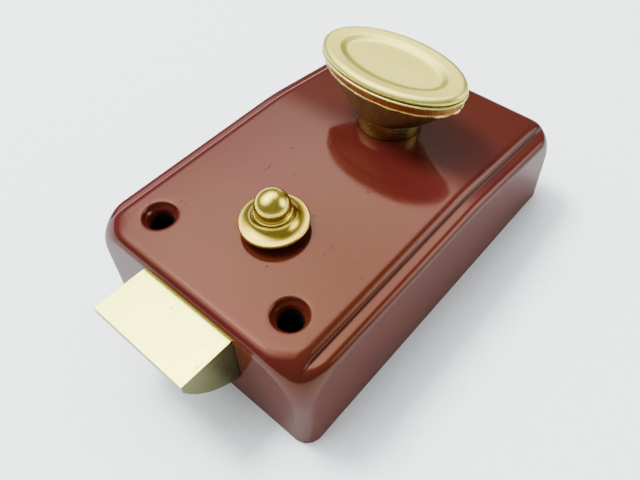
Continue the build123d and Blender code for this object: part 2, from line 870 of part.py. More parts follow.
def snib_slide():
    """The slide under the roof: a plate clicked by two scallops, with the nose that enters the tail."""
    x_low = snib_x - slide_behind
    y_low = snib_y - snib_stem_radius - slide_beside
    y_high = nose_edge() + nose_depth
    plate = bar(x_low, slide_front, y_low, y_high, slide_bottom(), slide_top())
    plate = fillet(plate.edges().filter_by(Axis.Z), slide_corner)
    for y in (0, snib_travel):
        plate -= rod(detent_bump_radius + detent_gap, x_low - clearance, y, 0, 2 * kink_height)
    plate -= rod(snib_stem_radius, snib_x, snib_y, 0, 2 * kink_height)
    nose = bar(snib_x - nose_width / 2, snib_x + nose_width / 2, nose_edge(), y_high,
               tail_bottom - clearance, slide_bottom())
    return plate + nose


def detent_spring():
    """The click spring: a flat strip across the case with a bump that sits in a scallop of the slide."""
    face_x = snib_x - slide_behind - clearance
    half = detent_length / 2
    top = slide_top()
    strip = bar(face_x - detent_sheet, face_x, -half, half, top - detent_height, top)
    bump = rod(detent_bump_radius, face_x, 0, top - detent_height, top)
    hollow = rod(detent_bump_radius - detent_sheet, face_x, 0, 0, 2 * kink_height)
    strip = strip + bump - hollow
    behind = bar(face_x - 2, face_x - detent_sheet, -half, half, 0, 2 * kink_height)
    return strip - behind


pieces = {
    "case": case,
    "back_plate": back_plate,
    "back_plate_screws": back_plate_screws,
    "latch_bolt": latch_bolt,
    "bolt_tail": bolt_tail,
    "bolt_rivets": bolt_rivets,
    "draw_lug": draw_lug,
    "draw_cam": draw_cam,
    "tail_socket": tail_socket,
    "spindle": spindle,
    "knob_hub": knob_hub,
    "hub_washer": hub_washer,
    "retaining_ring": retaining_ring,
    "knob_bowl": knob_bowl,
    "clench_ring": clench_ring,
    "knob_skirt": knob_skirt,
    "knob_face": knob_face,
    "guide_bridge": guide_bridge,
    "bridge_rivets": bridge_rivets,
    "spring_pin": spring_pin,
    "bolt_spring": bolt_spring,
    "snib_button": snib_button,
    "snib_slide": snib_slide,
    "detent_spring": detent_spring,
}
for name, make in pieces.items():
    save(make(), name)
print(f"bolt spring, least gap between turns: {spring_self_gap():.2f} mm")
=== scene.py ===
import bpy
import bmesh
import json
from math import atan, cos, hypot, inf, pi, radians, sin, sqrt, tan, tau
from mathutils import Matrix, Vector, noise
from mathutils.geometry import delaunay_2d_cdt


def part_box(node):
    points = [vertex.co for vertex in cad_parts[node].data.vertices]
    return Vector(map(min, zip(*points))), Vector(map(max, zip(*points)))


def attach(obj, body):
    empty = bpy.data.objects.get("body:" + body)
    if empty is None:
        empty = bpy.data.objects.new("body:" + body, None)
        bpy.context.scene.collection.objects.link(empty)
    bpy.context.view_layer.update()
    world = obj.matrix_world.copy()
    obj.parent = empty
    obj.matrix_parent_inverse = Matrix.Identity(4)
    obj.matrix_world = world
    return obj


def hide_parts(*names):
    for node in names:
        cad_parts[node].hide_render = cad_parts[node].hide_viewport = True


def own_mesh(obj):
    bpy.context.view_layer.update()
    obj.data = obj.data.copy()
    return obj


# Rim night latch on pale paper: the visible pieces, their finishes, the light and the camera.
# Sizes are millimetres in the frame's axes: +X is the bolt's way, +Z comes out of the case's face.

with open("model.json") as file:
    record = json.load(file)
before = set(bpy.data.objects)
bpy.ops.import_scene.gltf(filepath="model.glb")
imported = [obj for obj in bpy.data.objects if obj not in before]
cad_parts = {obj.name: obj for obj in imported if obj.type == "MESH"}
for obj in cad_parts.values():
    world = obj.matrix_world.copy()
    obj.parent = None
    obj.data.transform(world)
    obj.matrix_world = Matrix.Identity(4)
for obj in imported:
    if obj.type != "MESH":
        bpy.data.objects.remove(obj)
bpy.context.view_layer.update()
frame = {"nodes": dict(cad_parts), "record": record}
nodes = frame["nodes"]
MM = 0.001


def node_box(name):
    """Lowest and highest corner of a CAD node, in millimetres."""
    low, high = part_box(name)
    return low / MM, high / MM


# Sizes read from the frame
case_low, case_high = node_box("case")
bolt_low, bolt_high = node_box("latch_bolt")
hub_low, hub_high = node_box("knob_hub")
bowl_low, bowl_high = node_box("knob_bowl")
skirt_low, skirt_high = node_box("knob_skirt")
face_low, face_high = node_box("knob_face")
snib_low, snib_high = node_box("snib_button")
plate_high = node_box("back_plate")[1]
spring_low, spring_high = node_box("bolt_spring")
case_rear = case_low.x
case_front = case_high.x
case_half = case_high.y
snib_x = (snib_low.x + snib_high.x) / 2

# Case: the panel's line, the roundings of its edges and the wall
front_height = 24.5
bend_height = 25.3
rear_height = 21.5
bend_x = 8.5
bend_radius = 60.0
corner_radius = 3.6
top_round = 2.6
rear_round = 4.5
least_radius = 1.2
foot_round = 0.4
wall = 2.2

# Case: the large rounds at the two front corners
front_round_depth = 9.5
front_round_reach = 7.0
front_round_back = 8.0
front_round_lift = 0.9

# Case: the softer rounds at the two rear corners
rear_corner_depth = 9.5
rear_corner_reach = 6.0
rear_corner_back = 7.5

# Case: the moulding along both long sides, a shelf below the panel and the step between them
shelf_depth = 1.8
shelf_width = 3.05
shelf_round = 1.7
step_width = 2.35
step_limit = 0.97

# Case: how far crossing surfaces are blended
foot_blend = 0.45
corner_blend = 0.8
rear_blend = 0.4

# Case: the layout of its mesh, as widths in plan, columns round the outline and rows down the walls
band_width = 5.7
front_band = 4.7
crowding = 0.8
crowded_share = 0.75
before_step = 0.35
after_step = 0.25
rear_columns, middle_columns, front_columns = 18, 69, 22
beside_columns, window_columns = 12, 22
corner_columns = 14
window_rows = 10
lower_rows = 4
panel_step = 1.3
ceiling_step = 4.5

# Case: holes
screw_x = 50.8
screw_y = 17.45
screw_bore_radius = 2.75
screw_rim = 4.3
screw_boss = 4.4
screw_swell = 0.05
screw_sag = 0.12
hole_points = 64
hub_bore = hub_high.x + 0.08
hub_boss = 9.58
boss_floor = 18.9
snib_slot_width = 4.5
snib_slot_length = 8.5
window_gap = 0.2
window_half = bolt_high.y + window_gap
window_low = bolt_low.z - window_gap
window_high = bolt_high.z + window_gap

# Screw hole: radius and drop from the panel, over its enamelled lip and down into the bore
screw_profile = (
    (screw_rim, 0.0), (4.1, 0.01), (3.9, 0.03), (3.72, 0.07), (3.58, 0.14), (3.47, 0.25), (3.39, 0.42),
    (3.3, 0.64), (3.17, 0.88), (3.02, 1.1), (2.86, 1.28), (2.72, 1.48), (2.62, 1.75), (2.55, 2.05),
    (2.52, 2.5))

# Knob face
knob_long = face_high.y
knob_short = face_high.x
rim_height = 1.4
rim_round = 1.25
rim_roll = 0.42
rim_dish = 0.1
neck_inset = 1.0
recess_long = 12.8
recess_short = 6.6
recess_depth = 0.85
recess_lip = 0.3
recess_foot = 1.7
recess_middle = 4.0
recess_crown = 0.04
recess_peak = 0.05

# Knob face: distance out from the recess's outline and drop, down the recess's wall
recess_wall = (
    (0.35, 0.1), (0.15, 0.12), (-0.05, 0.19), (-0.25, 0.29), (-0.5, 0.43), (-0.75, 0.57), (-1.0, 0.7),
    (-1.2, 0.79), (-1.4, 0.84), (-recess_foot, recess_depth + 0.01))

# Knob skirt and bowl
skirt_points = 360
lip_height = 0.42
lip_groove = 0.24
lip_width = 0.9
skirt_inset = 0.32
skirt_taper = 0.75
edge_height = 0.42
bowl_seat = 0.45
bowl_inset = 0.05
bowl_overhang = 0.25
bowl_heel = 0.1
bowl_belly = 1.4
bowl_steps = 26

# Hub
hub_spigot = 5.5

# Snib button
snib_float = 0.25
snib_foot_radius = 4.2
snib_foot_height = 1.4
snib_stem_radius = 2.0
snib_edge = 0.33
snib_dome = 3.62
snib_dome_lift = 0.37
turned_points = 128

# Snib button: radius and height over the flange's underside, up the hollow flare and round the collar
snib_flare = (
    (6.38, 0.76), (6.1, 0.8), (5.8, 0.87), (5.5, 0.98), (5.2, 1.12), (4.9, 1.3), (4.64, 1.51), (4.42, 1.75),
    (4.24, 2.02), (4.1, 2.3), (4.0, 2.58), (3.94, 2.82), (3.91, 3.0), (3.87, 3.16), (3.8, 3.32), (3.71, 3.46),
    (3.62, 3.56), (3.56, 3.64))

# Bolt
bolt_tip_thickness = 1.8
bolt_bulge = 1.6
bolt_edge = 0.12
bevel_steps = 16
pocket_radius = 2.7
pocket_depth = 6.0

# Bolt spring
spring_wire = 0.35
spring_turns = 7
spring_close = 0.55
turn_steps = 28
wire_points = 10

# Light: soft patches, each with its turn, lift and strength, and how it fades with the angle from there.
# All angles are in degrees.
patches = ((298, 59, 2.2, ((6, 1.0), (11, 0.56), (18, 0.45), (28, 0.2), (39, 0.0))),
           (221, 59, 1.0, ((14, 1.0), (18, 0.8), (22, 0.45), (28, 0.14), (35, 0.0))),
           (134, 24, 1.0, ((11, 1.0), (17, 0.6), (25, 0.0))))
light_strength = 6.2
light_colour = (1.0, 0.985, 0.96)
room_glow = 0.06
key_turn = 280
key_lift = 62
key_distance = 0.9
key_size = 0.24
key_power = 19.0

# Camera, as fitted to the photograph, with angles in degrees
photo_width = 640
photo_height = 480
focal_px = 638.1
camera_turn = 40.99
camera_lift = 48.65
camera_roll = -0.83
camera_distance = 144.9
camera_target = Vector((17.08, -0.26, 10.0))
principal_x = 339.4
principal_y = 207.6

# Floor
floor_reach = 3000.0
floor_drop = 0.02


# Finishes

def srgb(*channels):
    """Linear colour of an 8-bit screen colour."""
    shares = [value / 255 for value in channels]
    linear = [share / 12.92 if share <= 0.04045 else ((share + 0.055) / 1.055) ** 2.4 for share in shares]
    return (*linear, 1.0)


def put(tree, socket, value):
    """Feeds a socket from another one, or sets its value."""
    if isinstance(value, bpy.types.NodeSocket):
        tree.links.new(value, socket)
    else:
        socket.default_value = value


def add_node(tree, kind, inputs, **settings):
    """A new node of a tree. Its inputs are given by name or number, and fed or set."""
    made = tree.nodes.new("ShaderNode" + kind)
    for key, value in settings.items():
        setattr(made, key, value)
    for socket, value in inputs.items():
        put(tree, made.inputs[socket], value)
    return made


class Finish:
    """A node material round one principled shader, with short calls for its textures."""

    def __init__(self, name, colour, metallic, roughness):
        self.material = bpy.data.materials.new(name)
        self.material.use_nodes = True
        self.tree = self.material.node_tree
        self.shader = self.tree.nodes["Principled BSDF"]
        self.set("Base Color", colour)
        self.set("Metallic", metallic)
        self.set("Roughness", roughness)
        self.place = self.node("TexCoord", "Object", {})

    def node(self, kind, output, inputs, **settings):
        """One output of a new node of this material."""
        return add_node(self.tree, kind, inputs, **settings).outputs[output]

    def set(self, name, value):
        """Feeds or sets one of the shader's own sockets."""
        put(self.tree, self.shader.inputs[name], value)

    def noise(self, per_mm, detail=2.0, rough=0.5, across=None, turn=(0, 0, 0)):
        """Cloudy noise with so many features per millimetre, finer or coarser across some axes."""
        place = self.place
        if across:
            place = self.node("Mapping", "Vector", {"Vector": place, "Scale": across, "Rotation": turn})
        sockets = {"Vector": place, "Scale": per_mm / MM, "Detail": detail, "Roughness": rough}
        return self.node("TexNoise", "Fac", sockets)

    def spots(self, per_mm, low, high):
        """Scattered spots: 1 up to the smaller distance from their middles, 0 past the larger one."""
        sockets = {"Vector": self.place, "Scale": per_mm / MM}
        return self.ramp(self.node("TexVoronoi", "Distance", sockets), low, high, 1.0, 0.0)

    def ramp(self, value, low, high, start=0.0, end=1.0):
        """Maps low..high to start..end, clamped."""
        sockets = {"Value": value, "From Min": low, "From Max": high, "To Min": start, "To Max": end}
        return self.node("MapRange", "Result", sockets)

    def mix(self, share, first, second):
        """Blends two colours by share, each from a socket or an 8-bit screen colour."""
        first, second = (srgb(*tone) if isinstance(tone, tuple) else tone for tone in (first, second))
        return self.node("Mix", 2, {"Factor": share, 6: first, 7: second}, data_type="RGBA")

    def colour(self, share, first, second):
        """Makes the base colour a blend of two."""
        self.set("Base Color", self.mix(share, first, second))

    def math(self, operation, first, second):
        """Two numbers added, multiplied or otherwise combined."""
        return self.node("Math", "Value", {0: first, 1: second}, operation=operation)

    def times(self, first, second):
        """Two numbers multiplied."""
        return self.math("MULTIPLY", first, second)

    def height(self):
        """Height over the door, in metres."""
        return self.node("SeparateXYZ", "Z", {"Vector": self.place})

    def upward(self):
        """How far the surface faces up, from -1 to 1."""
        return self.node("SeparateXYZ", "Z", {"Vector": self.node("TexCoord", "Normal", {})})

    def bump(self, height, depth_mm, under=None):
        """Relief so many millimetres deep, over another relief where there is one."""
        sockets = {"Strength": 1.0, "Distance": depth_mm * MM, "Height": height}
        if under is not None:
            sockets["Normal"] = under
        relief = self.node("Bump", "Normal", sockets)
        self.set("Normal", relief)
        return relief


def case_enamel(coat):
    """Glossy red-brown stoved enamel with orange peel, pits and fine scratches; upright walls get a paler
    base colour as painted light.
    """
    coat.set("IOR", 1.5)
    coat.set("Specular Tint", (1.0, 0.55, 0.37, 1.0))
    drift = coat.noise(0.03, detail=3)
    tone = coat.mix(coat.ramp(drift, 0.35, 0.65), (52, 19, 9), (56, 14, 15))
    pits = coat.spots(0.2, 0.035, 0.06)
    lines = coat.noise(0.9, detail=4, rough=0.7, across=(0.35, 2.6, 1.0), turn=(0, 0, 0.6))
    scratch = coat.ramp(lines, 0.68, 0.73)
    upright = coat.ramp(coat.upward(), 0.15, 0.5, 1.0, 0.0)
    scratch = coat.times(scratch, coat.ramp(upright, 0.0, 1.0, 1.0, 0.1))
    # Paler red-brown on the upright walls: painted light, the same enamel as the top.
    tone = coat.mix(upright, tone, (74, 27, 15))
    tone = coat.mix(coat.times(pits, 0.5), tone, (24, 9, 7))
    tone = coat.mix(coat.times(scratch, 0.4), tone, (30, 11, 8))
    coat.set("Base Color", tone)
    haze = coat.ramp(coat.noise(0.12, detail=4), 0.3, 0.7, 0.08, 0.15)
    marks = coat.math("ADD", coat.times(scratch, 0.3), coat.times(pits, 0.2))
    coat.set("Roughness", coat.math("ADD", haze, marks))
    slant = coat.node("LayerWeight", "Facing", {})
    gloss = coat.times(coat.ramp(slant, 0.27, 0.52, 0.42, 0.1), coat.ramp(slant, 0.5, 0.8, 1.0, 0.14))
    coat.set("Specular IOR Level", gloss)
    peel = coat.bump(coat.noise(0.35, detail=1), 0.012)
    coat.bump(coat.math("ADD", pits, coat.times(scratch, 0.5)), -0.03, under=peel)


def bolt_brass(coat):
    """Drawn brass with faint draw lines, stains and spots, pale on top, with the sides painted darker and
    duller as painted shade.
    """
    stain = coat.ramp(coat.noise(0.3, detail=6, rough=0.65), 0.52, 0.72)
    fine = coat.noise(1.2, detail=4)
    tone = coat.mix(fine, (246, 247, 112), (252, 253, 134))
    tone = coat.mix(coat.times(stain, 0.3), tone, (196, 184, 62))
    spots = coat.spots(0.22, 0.04, 0.08)
    tone = coat.mix(coat.times(spots, 0.6), tone, (120, 112, 50))
    # The sides get a darker, duller brass than the top: painted shade.
    upward = coat.ramp(coat.upward(), 0.4, 0.8)
    coat.colour(upward, coat.mix(fine, (98, 94, 56), (112, 108, 68)), tone)
    lines = coat.noise(1.0, detail=3, across=(0.15, 3.0, 3.0))
    coat.set("Roughness", coat.ramp(lines, 0.3, 0.7, 0.26, 0.38))
    coat.bump(lines, 0.006)


def face_brass(coat):
    """Pale gold plating over a stamped face, finely speckled."""
    speckle = coat.noise(4.0, detail=4, rough=0.7)
    pits = coat.spots(0.55, 0.04, 0.09)
    tone = coat.mix(coat.ramp(speckle, 0.3, 0.7), (186, 178, 84), (212, 204, 106))
    coat.colour(coat.times(pits, 0.6), tone, (84, 74, 30))
    coat.set("Roughness", coat.ramp(speckle, 0.3, 0.7, 0.36, 0.5))
    coat.bump(coat.math("SUBTRACT", speckle, coat.times(pits, 0.8)), 0.012)


def skirt_brass(coat):
    """Brown-gold crimped band with fine upright draw marks, lighter towards its top as painted light, with
    painted highlights on its lip and along its rolled edge.
    """
    marks = coat.noise(1.6, detail=3, across=(2.0, 2.0, 0.12))
    height = coat.height()
    # Lighter towards the top of the band: painted light.
    up = coat.ramp(height, skirt_low.z * MM, skirt_high.z * MM)
    tone = coat.mix(up, (176, 124, 64), (190, 140, 78))
    tone = coat.mix(coat.ramp(marks, 0.35, 0.7, 0.0, 0.5), tone, (120, 78, 36))
    lip = (face_high.z - rim_height - lip_groove - lip_height) * MM
    edge = skirt_low.z * MM
    # Pale lip and pale rolled edge: painted highlights.
    pale = coat.ramp(height, lip - 0.06 * MM, lip)
    ragged = coat.math("ADD", height, coat.ramp(marks, 0.3, 0.7, -0.12 * MM, 0.12 * MM))
    rolled = coat.ramp(ragged, edge + 0.36 * MM, edge + 0.44 * MM, 1.0, 0.0)
    coat.colour(coat.math("MAXIMUM", pale, rolled), tone, (206, 196, 118))
    coat.set("Roughness", coat.ramp(marks, 0.3, 0.7, 0.28, 0.42))
    coat.bump(marks, 0.035)


def bowl_brass(coat):
    """Dull brown-gold pressed bowl with faint blots, darker towards the hub as painted shade under the knob.
    """
    height = coat.ramp(coat.height(), bowl_low.z * MM, bowl_high.z * MM)
    # Darker towards the hub, low under the knob: painted shade.
    tone = coat.mix(height, (118, 104, 68), (144, 126, 84))
    blot = coat.ramp(coat.noise(0.4, detail=5), 0.4, 0.7)
    coat.colour(coat.times(blot, 0.35), tone, (98, 78, 44))
    coat.set("Roughness", coat.ramp(coat.noise(2.0, detail=3), 0.3, 0.7, 0.3, 0.45))
    coat.bump(coat.noise(3.0, detail=3), 0.008)


def hub_brass(coat):
    """Olive-yellow passivated hub with turning lines."""
    rings = coat.noise(3.0, detail=2, across=(0.1, 0.1, 4.0))
    tint = coat.noise(0.25, detail=2)
    coat.colour(tint, (156, 146, 76), (174, 156, 102))
    coat.set("Roughness", coat.ramp(rings, 0.3, 0.7, 0.24, 0.36))
    coat.bump(rings, 0.01)


def snib_brass(coat):
    """Turned and polished yellow brass with faint blots, darker towards its flange as painted shade of the
    hollow flare.
    """
    flange, collar = snib_high.z * MM - 8.4 * MM, snib_high.z * MM - 3.4 * MM
    # Darker from the collar down to the flange: painted shade.
    height = coat.ramp(coat.height(), flange, collar)
    tone = coat.mix(height, (164, 140, 52), (202, 184, 72))
    blot = coat.ramp(coat.noise(0.35, detail=5, rough=0.6), 0.5, 0.75)
    coat.colour(coat.times(blot, 0.4), tone, (124, 96, 26))
    lines = coat.noise(2.5, detail=3, across=(0.3, 0.3, 3.0))
    coat.set("Roughness", coat.ramp(lines, 0.25, 0.75, 0.16, 0.27))
    coat.bump(lines, 0.008)


def zinc_steel(coat):
    """Zinc-plated steel sheet: grey, satin, with faint cloudy crystals."""
    cloud = coat.noise(0.35, detail=6, rough=0.6)
    coat.colour(cloud, (164, 166, 164), (206, 205, 198))
    coat.set("Roughness", coat.ramp(cloud, 0.3, 0.7, 0.28, 0.44))
    coat.bump(coat.noise(1.5, detail=4), 0.008)


def spring_steel(coat):
    """Dark hardened steel."""
    cloud = coat.noise(0.8, detail=4)
    coat.colour(cloud, (78, 78, 82), (112, 111, 110))
    coat.set("Roughness", coat.ramp(cloud, 0.3, 0.7, 0.25, 0.4))


def bare_casting(coat):
    """Near-black iron down in the screw holes: bare iron made darker as painted shade of the deep hole."""
    coat.set("IOR", 1.3)
    # Near-black colour: bare iron darkened as painted shade.
    coat.colour(coat.noise(1.0, detail=4), (14, 12, 12), (34, 29, 27))


def paper(coat):
    """Pale paper, faintly clouded."""
    grain = coat.noise(0.4, detail=4)
    coat.colour(coat.ramp(grain, 0.3, 0.7), (216, 226, 233), (221, 231, 238))


# Every finish: what paints it, its plain colour, and how metallic and how rough it is
finishes = {}
for paint, colour, metallic, roughness in (
        (case_enamel, (53, 16, 11), 0.0, 0.1), (bare_casting, (24, 21, 20), 0.0, 0.85),
        (bolt_brass, (250, 245, 150), 1.0, 0.3), (face_brass, (222, 208, 158), 1.0, 0.3),
        (skirt_brass, (186, 138, 72), 1.0, 0.34), (bowl_brass, (150, 118, 70), 1.0, 0.36),
        (hub_brass, (158, 148, 78), 1.0, 0.3), (snib_brass, (214, 186, 84), 1.0, 0.22),
        (zinc_steel, (190, 190, 186), 1.0, 0.34), (spring_steel, (96, 96, 98), 1.0, 0.3),
        (paper, (218, 228, 235), 0.0, 0.75)):
    made = Finish(paint.__name__, srgb(*colour), metallic, roughness)
    paint(made)
    finishes[paint.__name__] = made.material


# Mesh helpers

def add_object(name, data):
    """A new object in the scene."""
    made = bpy.data.objects.new(name, data)
    bpy.context.scene.collection.objects.link(made)
    return made


class Shell:
    """Points and faces gathered piece by piece, in millimetres, and welded at the end."""

    def __init__(self):
        self.points = []
        self.faces = []

    def ring_pair(self, first, second, left_out=()):
        """Quads between two rings of indices of the same length, but for the places left out."""
        for k in range(len(first)):
            after = (k + 1) % len(first)
            if k not in left_out:
                self.faces.append((first[k], first[after], second[after], second[k]))

    def row(self, points):
        """Adds a row of points and returns their indices."""
        start = len(self.points)
        self.points.extend(points)
        return list(range(start, start + len(points)))

    def loft(self, rows):
        """Quads through rings of points."""
        rings = [self.row(points) for points in rows]
        for first, second in zip(rings, rings[1:]):
            self.ring_pair(first, second)
        return rings

    def cap(self, ring, point):
        """A fan from a ring to one point."""
        centre = self.row([point])[0]
        for k, index in enumerate(ring):
            self.faces.append((index, ring[(k + 1) % len(ring)], centre))

    def build(self, name, body, slot, replaced=(), weld=0.002, sharp=None):
        """Makes the object, welds it, turns its faces outwards, gives it its finish, parents it to its body
        and hides the CAD parts it replaces.
        """
        mesh = bpy.data.meshes.new(name)
        mesh.from_pydata([Vector(point) * MM for point in self.points], [], self.faces)
        work = bmesh.new()
        work.from_mesh(mesh)
        bmesh.ops.remove_doubles(work, verts=work.verts, dist=weld * MM)
        bmesh.ops.dissolve_degenerate(work, edges=work.edges, dist=weld * MM / 2)
        bmesh.ops.recalc_face_normals(work, faces=work.faces)
        for face in work.faces:
            face.smooth = True
        if sharp is not None:
            for edge in work.edges:
                if len(edge.link_faces) == 2 and edge.calc_face_angle(0) > radians(sharp):
                    edge.smooth = False
        work.to_mesh(mesh)
        work.free()
        piece = add_object(name, mesh)
        mesh.materials.append(finishes[slot])
        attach(piece, body)
        if replaced:
            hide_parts(*replaced)
        return piece


def full_turn(count):
    """Angles evenly round a full turn."""
    return [tau * k / count for k in range(count)]


def oval_ring(long, short, z, count=180, wobble=None):
    """Points round an oval, long along Y, with an optional push out and up by angle."""
    points = []
    for angle in full_turn(count):
        out, up = wobble(angle) if wobble else (0.0, 0.0)
        normal = Vector((long * cos(angle), short * sin(angle))).normalized()
        points.append((short * cos(angle) + out * normal.x, long * sin(angle) + out * normal.y, z + up))
    return points


def spread(low, high, count):
    """Evenly spaced values from low to high."""
    return [low + (high - low) * k / count for k in range(count + 1)]


def arc(centre, radius, start, end, steps):
    """Points of a circle's arc in a plane, angles in degrees."""
    angles = [radians(angle) for angle in spread(start, end, steps)]
    return [(centre[0] + radius * cos(a), centre[1] + radius * sin(a)) for a in angles]


def closed_piece(name, body, slot, rows, low, high, replaced):
    """A piece of rings of points, with a fan to one point at either end."""
    shell = Shell()
    rings = shell.loft(rows)
    shell.cap(rings[0], low)
    shell.cap(rings[-1], high)
    shell.build(name, body, slot, replaced, weld=0.0005)


def level(loop, z):
    """A plan loop as points at one height."""
    return [(x, y, z) for x, y in loop]


def draped(loop, surface):
    """A plan loop as points on a surface, whose height is a function of x and y."""
    return [(x, y, surface(x, y)) for x, y in loop]


# Case

def roof(x):
    """Height of the top panel at x: two slopes joined by a soft bend."""
    rise_rear = (bend_height - rear_height) / (bend_x - case_rear)
    rise_front = (front_height - bend_height) / (case_front - bend_x)
    reach = bend_radius * tan((atan(rise_rear) - atan(rise_front)) / 2)
    off = x - bend_x
    if off < -reach:
        return bend_height + rise_rear * off
    if off > reach:
        return bend_height + rise_front * off
    middle = (rise_rear + rise_front) / 2
    return bend_height + middle * off - (rise_rear - rise_front) / (4 * reach) * (off * off + reach * reach)


def round_drop(distance, radius):
    """How far a rounded edge has dropped at a distance from the wall."""
    if distance >= radius:
        return 0.0
    inward = radius - max(distance, 0.0)
    return radius - sqrt(max(radius * radius - inward * inward, 0.0))


def soft_min(first, second, blend):
    """The lower of two heights, with their crossing rounded."""
    share = max(blend - abs(first - second), 0.0) / blend
    return min(first, second) - share * share * blend / 4


def wall_distance(x, y):
    """Distance in plan from a point to the case's outline."""
    off_x = abs(x - (case_front + case_rear) / 2) - ((case_front - case_rear) / 2 - corner_radius)
    off_y = abs(y) - (case_half - corner_radius)
    if off_x > 0 and off_y > 0:
        return corner_radius - hypot(off_x, off_y)
    return corner_radius - max(off_x, off_y)


def moulding(y):
    """How far the side moulding lies below the panel: a quarter oval that steepens down to a shelf."""
    off = abs(y) - (case_half - shelf_width - step_width)
    if off <= 0:
        return 0.0
    share = off / step_width
    rest = sqrt(1 - min(share, step_limit) ** 2)
    full = shelf_depth * (1 - rest)
    if share > step_limit:
        full += (share - step_limit) * shelf_depth * step_limit / rest
    return soft_min(full, shelf_depth, foot_blend) if full > shelf_depth - foot_blend else full


def corner_height(along, y, low, top, reach, lift=0.0):
    """Height of a large round over a corner, a quarter oval that opens upwards. No limit away from it."""
    along = max(along, 0.0)
    aside = max(case_half - abs(y), 0.0)
    sharp = sqrt(2) - 1
    inset = (along + aside + sqrt(2 * along * aside) - corner_radius) * sharp
    if inset >= reach:
        return inf
    share = max(inset, 0.0) / reach
    return low + (top - low) * sqrt(1 - (1 - share) ** 2) + lift * share ** 4


def front_round(x, y):
    """Height of the large round over a front corner."""
    low = front_height - front_round_depth
    top = roof(case_front - front_round_back)
    return corner_height(case_front - x, y, low, top, front_round_reach, front_round_lift)


def rear_corner_round(x, y):
    """Height of the softer round over a rear corner."""
    low = rear_height - rear_corner_depth
    return corner_height(x - case_rear, y, low, roof(case_rear + rear_corner_back), rear_corner_reach)


def case_top(x, y):
    """Height of the case's outer surface over a point of its plan."""
    inset = wall_distance(x, y)
    block = roof(x) - round_drop(inset, top_round)
    inward = min((x - case_rear) / rear_round, 1.0)
    rear = roof(x) - round_drop(x - case_rear, rear_round) + rear_blend * inward ** 3
    block = soft_min(block, rear, rear_blend)
    drop = moulding(y)
    if drop > 0:
        blend = corner_blend * max(1 - inset / top_round, 0.01)
        block = soft_min(block, roof(x) - drop - round_drop(inset, shelf_round), blend)
    corner = min(front_round(x, y), rear_corner_round(x, y))
    return block if corner > block + corner_blend else soft_min(block, corner, corner_blend)


def under_roof(x, y):
    """Height of the panel's inner face."""
    return roof(x) - wall


def ceiling(x, y):
    """Height of the case's inner surface: the panel's inner face, lower along both long sides."""
    return under_roof(x, y) - (shelf_depth if abs(y) > case_half - band_width - wall else 0.0)


def outline_stations():
    """Where the rings' points lie round the case: a side or corner, and the share along it."""
    flat = case_half - corner_radius
    places = spread(-flat, -window_half, beside_columns)[:-1]
    places += spread(-window_half, window_half, window_columns)[:-1]
    places += spread(window_half, flat, beside_columns)
    short_shares = [(y + flat) / (2 * flat) for y in places]
    long_shares = spread(0.0, 0.1, rear_columns)[:-1] + spread(0.1, 0.9, middle_columns)[:-1]
    long_shares += spread(0.9, 1.0, front_columns)
    stations = []
    for name, shares in (("right", long_shares), ("front", [1 - s for s in short_shares[::-1]]),
                         ("left", [1 - s for s in long_shares[::-1]]), ("rear", short_shares)):
        stations += [(name, share) for share in shares]
        stations += [(name + "_corner", k / corner_columns) for k in range(1, corner_columns)]
    return stations


def plan_point(station, inset):
    """Point of the plan at a station, pulled in from the outline by inset."""
    name, share = station
    radius = max(corner_radius - inset, least_radius)
    x_high, x_low = case_front - inset - radius, case_rear + inset + radius
    y_high = case_half - inset - radius
    sides = {"right": (x_low + (x_high - x_low) * share, case_half - inset),
             "front": (case_front - inset, y_high - 2 * y_high * share),
             "left": (x_high - (x_high - x_low) * share, inset - case_half),
             "rear": (case_rear + inset, -y_high + 2 * y_high * share)}
    if name in sides:
        return sides[name]
    x, y, start = {"right_corner": (x_high, y_high, 90), "front_corner": (x_high, -y_high, 0),
                   "left_corner": (x_low, -y_high, -90), "rear_corner": (x_low, y_high, 180)}[name]
    angle = radians(start - 90 * share)
    return x + radius * cos(angle), y + radius * sin(angle)


def plan_ring(stations, inset):
    """The whole outline, pulled in by inset."""
    return [plan_point(station, inset) for station in stations]


def side_insets():
    """Where rings cross a long side: close together on the shelf's edge, the step and the panel's edge."""
    insets = [shelf_round * (1 - cos(angle)) for angle in spread(0, pi / 2, 9)]
    marks = (shelf_round, shelf_width - before_step, shelf_width + after_step, shelf_width + step_width,
             band_width)
    for low, high, count in zip(marks, marks[1:], (5, 9, 12, 2)):
        insets += spread(low, high, count)[1:]
    return insets


def end_insets(width):
    """Where rings cross an end wall: close together near the wall, then even."""
    count = len(side_insets()) - 1
    insets = []
    for share in spread(0.0, 1.0, count):
        crowded = 1 - cos(pi / 2 * share ** crowding)
        insets.append(width * (crowded * crowded_share + share * (1 - crowded_share)))
    return insets


def band_insets(station):
    """Distances from the wall at which the top's rings cross a station."""
    name, share = station
    side, front, rear = side_insets(), end_insets(front_band), end_insets(band_width)
    first, second = {"right": (side, side), "right_corner": (side, front), "front": (front, front),
                     "front_corner": (front, side), "left": (side, side), "left_corner": (side, rear),
                     "rear": (rear, rear), "rear_corner": (rear, side)}[name]
    blend = share * share * (3 - 2 * share)
    return [a + (b - a) * blend for a, b in zip(first, second)]


